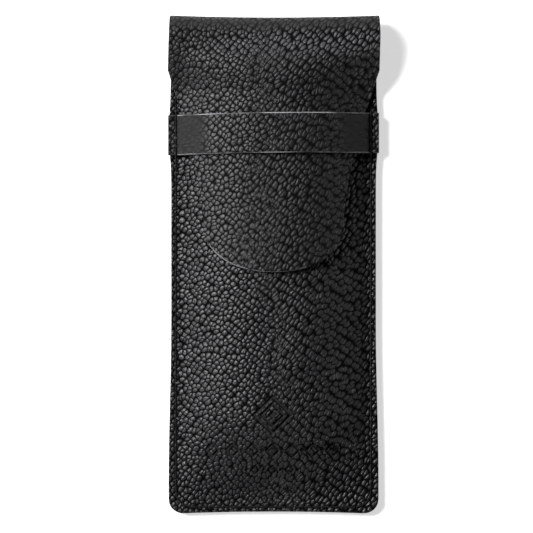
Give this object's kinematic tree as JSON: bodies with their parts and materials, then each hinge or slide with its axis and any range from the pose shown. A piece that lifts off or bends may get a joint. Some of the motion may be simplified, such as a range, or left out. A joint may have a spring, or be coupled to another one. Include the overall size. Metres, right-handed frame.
{
  "type": "fountain pen case",
  "caption": "Soft black leather slip case for fountain pens: a domed pouch whose fold-over flap tucks its tongue under a sewn band.",
  "frame": {"origin": "centre of the flat back, on the surface that the case lies on", "axes": "+Z out of the pouch's front, away from the back; +Y along the case towards the fold; +X to the right when the front is seen with the fold at the top"},
  "size_m": [0.0722, 0.17, 0.0171],
  "materials": {
    "leather": "pebbled, semi-matt",
    "thread": "waxed twisted thread"
  },
  "bodies": {
    "case": {"back_panel": "leather", "front_panel": "leather", "retaining_band": "leather", "front_thread_left": "thread", "front_thread_bottom": "thread", "front_thread_right": "thread", "back_thread_left": "thread", "back_thread_bottom": "thread", "back_thread_right": "thread"},
    "fold_lower": {"fold_lower_strip": "leather"},
    "fold_upper": {"fold_upper_strip": "leather"},
    "flap": {"flap": "leather"}
  },
  "joints": [
    {"name": "fold_crease_lower", "type": "hinge", "parent": "case", "child": "fold_lower", "pos_m": [0, 0.08225, 0.00074], "axis": [-1, 0, 0], "range_deg": [0, 54]},
    {"name": "fold_crease_middle", "type": "hinge", "parent": "fold_lower", "child": "fold_upper", "pos_m": [0, 0.085, 0.0055], "axis": [-1, 0, 0], "range_deg": [0, 54]},
    {"name": "fold_crease_upper", "type": "hinge", "parent": "fold_upper", "child": "flap", "pos_m": [0, 0.08225, 0.01026], "axis": [-1, 0, 0], "range_deg": [0, 54]}
  ],
  "couplings": [
    {"joint": "fold_crease_middle", "follows": "fold_crease_lower", "ratio": 1},
    {"joint": "fold_crease_upper", "follows": "fold_crease_lower", "ratio": 1}
  ]
}
